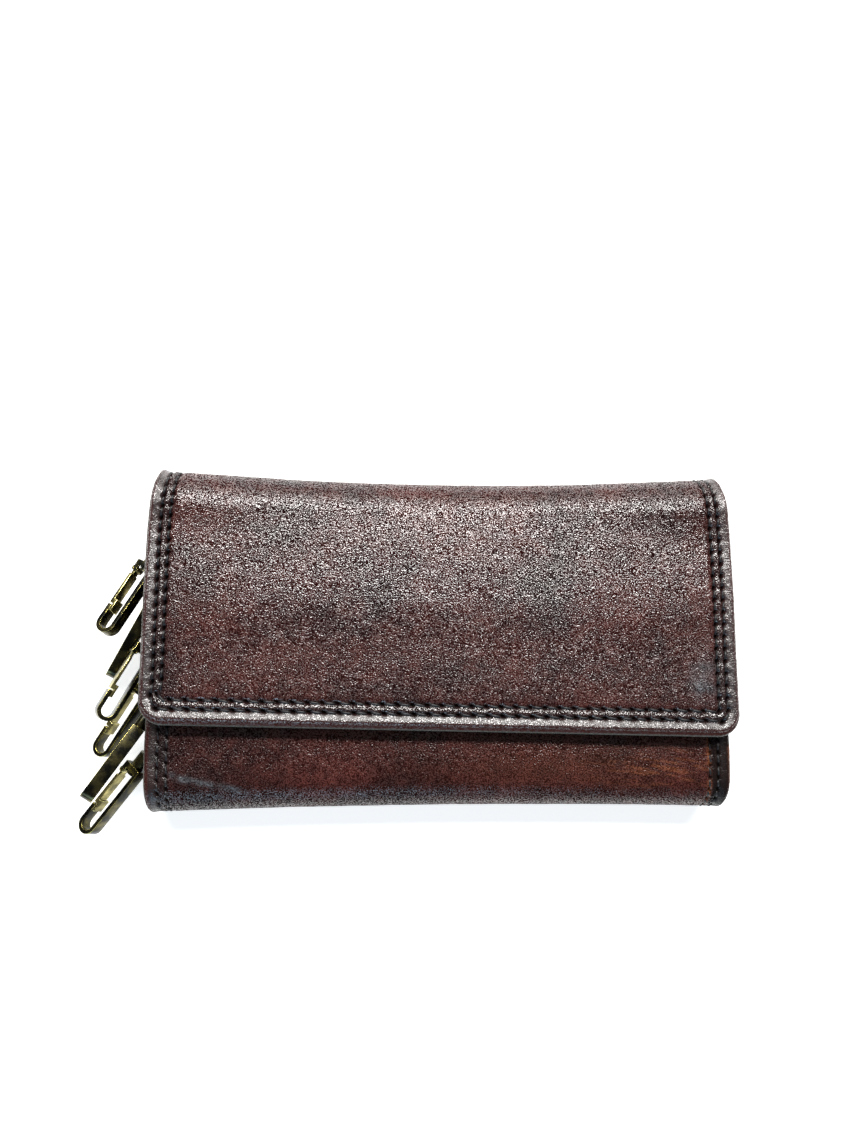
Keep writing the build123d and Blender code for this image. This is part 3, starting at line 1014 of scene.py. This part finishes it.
# Each metal's hollows, faces and rubbed edges, its roughness and its noise scale
HOOK_BRASS = metal_material(
    "antique_brass", (0.022, 0.022, 0.017), (0.12, 0.105, 0.045), (0.85, 0.74, 0.22), 0.24, 2600
)
# The gates: a lighter copy of the antique brass, a painted highlight for the light they reflect
GATE_LIT_BRASS = metal_material(
    "gate_brass_painted_highlight", (0.16, 0.14, 0.06), (0.50, 0.43, 0.17), (0.90, 0.82, 0.36), 0.24, 2600
)
PLATE_STEEL = metal_material(
    "plate_plating", (0.10, 0.085, 0.055), (0.30, 0.26, 0.17), (0.5, 0.43, 0.28), 0.36, 500
)
SNAP_BRASS = metal_material(
    "snap_plating", (0.14, 0.11, 0.055), (0.42, 0.34, 0.18), (0.55, 0.46, 0.26), 0.32, 600
)


def paint(obj, material):
    """One material on the whole piece."""
    obj.data.materials.clear()
    obj.data.materials.append(material)


def paint_node(name, material):
    """A finish for a CAD node that is shown as it is."""
    node = NODES[name]
    if not node.material_slots:
        node.data.materials.append(material)
    for entry in node.material_slots:
        entry.material = material


# ---------------------------------------------------------------- pieces

PANEL_NODES = {
    "flap": ("flap", ["top_fold"]),
    "front": ("front", ["bottom_fold"]),
    "upper_back": ("back", []),
    "lower_back": ("back", []),
}
STEP = {"flap": 0.22, "front": 0.24, "upper_back": 0.5, "lower_back": 0.5}
LINING_INSET = 0.5


def layer(obj, panel, material, slot, *nodes):
    """Finish of one layer, in place of the CAD nodes it stands for; its slot is not used."""
    paint(obj, material)
    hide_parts(*nodes)
    blend_panel(obj)


def make_leather():
    """The four leather panels, each with its lining, card and stitches."""
    for panel, (side, fold) in PANEL_NODES.items():
        outer = leather_panel(panel, f"{panel}_leather", STEP[panel])
        layer(outer, panel, LEATHER, "outer_leather", f"{side}_shell", *fold)
        lining_nodes = [f"{side}_lining"] + [f"{node}_lining" for node in fold]
        inner = inner_panel(panel, f"{panel}_inner_leather", HEM_DEPTH, LINING, LINING_INSET)
        layer(inner, panel, LINING_FINISH, "lining_leather", *lining_nodes)
        card = inner_panel(panel, f"{panel}_card", SHELL, HEM_DEPTH - SHELL, CARD_INSET)
        layer(card, panel, CARD, "card", f"{side}_stiffener")
        thread = stitch_mesh(panel, f"{panel}_stitches")
        layer(thread, panel, THREAD, "thread", f"{side}_stitching")


SHARP_ANGLE = math.radians(30)
FLAT_ANGLE = math.radians(1)
WELD = 0.002
ROUNDING = {"frame": 0.24, "gate": 0.14, "link": 0.15}


def rounded_piece(node_name, width):
    """Piece in place of a CAD one, with its edges rounded and marked as rubbed."""
    node = NODES[node_name]
    bm = bmesh.new()
    bm.from_mesh(node.data)
    bm.transform(node.matrix_world)
    bmesh.ops.remove_doubles(bm, verts=bm.verts, dist=WELD * MM)
    bmesh.ops.dissolve_limit(bm, angle_limit=FLAT_ANGLE, verts=bm.verts, edges=bm.edges)
    sharp = [e for e in bm.edges if len(e.link_faces) == 2 and e.calc_face_angle() > SHARP_ANGLE]
    rubbed = bm.faces.layers.float.new("rubbed")
    made = bmesh.ops.bevel(
        bm, geom=sharp, offset=width * MM, segments=3, profile=0.5, affect="EDGES", clamp_overlap=True
    )
    for face in made["faces"]:
        face[rubbed] = 1.0
    bmesh.ops.triangulate(bm, faces=bm.faces)
    mesh = bpy.data.meshes.new(node_name + "_rounded")
    bm.to_mesh(mesh)
    bm.free()
    mesh.polygons.foreach_set("use_smooth", [True] * len(mesh.polygons))
    mesh.set_sharp_from_angle(angle=SHARP_ANGLE)
    obj = bpy.data.objects.new(mesh.name, mesh)
    bpy.context.scene.collection.objects.link(obj)
    return obj


def make_hooks():
    """Frames, gates and links of the hooks, with rounded edges."""
    for name in list(NODES):
        part = name.split("_")[-1]
        if not name.startswith("hook_") or part not in ROUNDING:
            continue
        piece = rounded_piece(name, ROUNDING[part])
        paint(piece, GATE_LIT_BRASS if part == "gate" else HOOK_BRASS)
        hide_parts(name)
        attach(piece, body_name(name))


def body_name(node_name):
    """Body that a node belongs to."""
    bodies = frame["record"]["behaviour"]["bodies"]
    return next(body for body, nodes in bodies.items() if node_name in nodes)


def finish_metal():
    """Finishes of the CAD pieces that are shown as they are."""
    for name in NODES:
        if name in ("key_plate", "hook_posts", "plate_rivets", "rivet_washers"):
            paint_node(name, PLATE_STEEL)
        elif name.startswith("snap") or name == "stud_washers":
            paint_node(name, SNAP_BRASS)
        elif name.startswith("hook_"):
            paint_node(name, HOOK_BRASS)


# ---------------------------------------------------------------- stage

def area_light(name, place, aim, size, power, colour):
    """Rectangular soft light aimed at a point, in metres and watts."""
    data = bpy.data.lights.new(name, "AREA")
    data.shape = "RECTANGLE"
    data.size, data.size_y = size
    data.energy = power
    data.color = colour
    light = bpy.data.objects.new(name, data)
    bpy.context.scene.collection.objects.link(light)
    light.location = place
    light.rotation_euler = (Vector(aim) - Vector(place)).to_track_quat("-Z", "Y").to_euler()


# Each light's name, place, aim, size, power and colour
LIGHTS = (
    ("window", (0.02, 0.258, 0.42), (0, 0.01, 0), (0.60, 0.075), 4.0, (1.0, 0.985, 0.965)),
    ("far_wall", (0, 0.62, 0.34), (0, 0.03, 0), (0.9, 0.16), 2.4, (1.0, 0.96, 0.93)),
    ("room", (-0.25, -0.75, 0.36), (0, 0, 0), (0.9, 0.3), 3.2, (0.55, 0.80, 1.0)),
)
FLOOR_Z = -0.0004
FLOOR_SIZE = 6
FLOOR_GLOW = 0.7
BACKDROP = 0.92
AMBIENT = 0.15


def make_surround():
    """Dim light from all round, behind a pale backdrop that only the camera sees."""
    world = bpy.data.worlds.new("surround")
    world.use_nodes = True
    nodes, links = world.node_tree.nodes, world.node_tree.links
    background = nodes["Background"]
    background.inputs["Color"].default_value = (0.97, 0.98, 1.0, 1)
    backdrop = nodes.new("ShaderNodeMath")
    backdrop.operation = "MULTIPLY_ADD"
    links.new(nodes.new("ShaderNodeLightPath").outputs["Is Camera Ray"], backdrop.inputs[0])
    backdrop.inputs[1].default_value = BACKDROP - AMBIENT
    backdrop.inputs[2].default_value = AMBIENT
    links.new(backdrop.outputs["Value"], background.inputs["Strength"])
    bpy.context.scene.world = world


def make_stage():
    """White table, soft lights and a pale surround."""
    bpy.ops.mesh.primitive_plane_add(size=FLOOR_SIZE, location=(0, 0, FLOOR_Z))
    floor = bpy.context.object
    floor.name = "table_top"
    material, _, _, shader = new_material("white_table")
    shader.inputs["Base Color"].default_value = (0.93, 0.93, 0.925, 1)
    shader.inputs["Roughness"].default_value = 0.6
    shader.inputs["Emission Color"].default_value = (1, 1, 1, 1)
    shader.inputs["Emission Strength"].default_value = FLOOR_GLOW
    floor.data.materials.append(material)
    make_surround()
    for light in LIGHTS:
        area_light(*light)


CAMERA_PLACE = (-0.01586, -0.00565, 0.18665)
CAMERA_TURN = (6.751, -3.928, 0.267)
CAMERA_LENS = 27.14


def make_camera():
    """Camera nearly square to the front of the case, as the object was photographed."""
    data = bpy.data.cameras.new("camera")
    data.sensor_width = 36.0
    data.lens = CAMERA_LENS
    data.clip_start = 0.01
    camera = bpy.data.objects.new("camera", data)
    bpy.context.scene.collection.objects.link(camera)
    camera.location = CAMERA_PLACE
    camera.rotation_euler = [math.radians(a) for a in CAMERA_TURN]
    bpy.context.scene.camera = camera
    bpy.context.scene.view_settings.view_transform = "Standard"


make_leather()
make_hooks()
finish_metal()
make_stage()
make_camera()
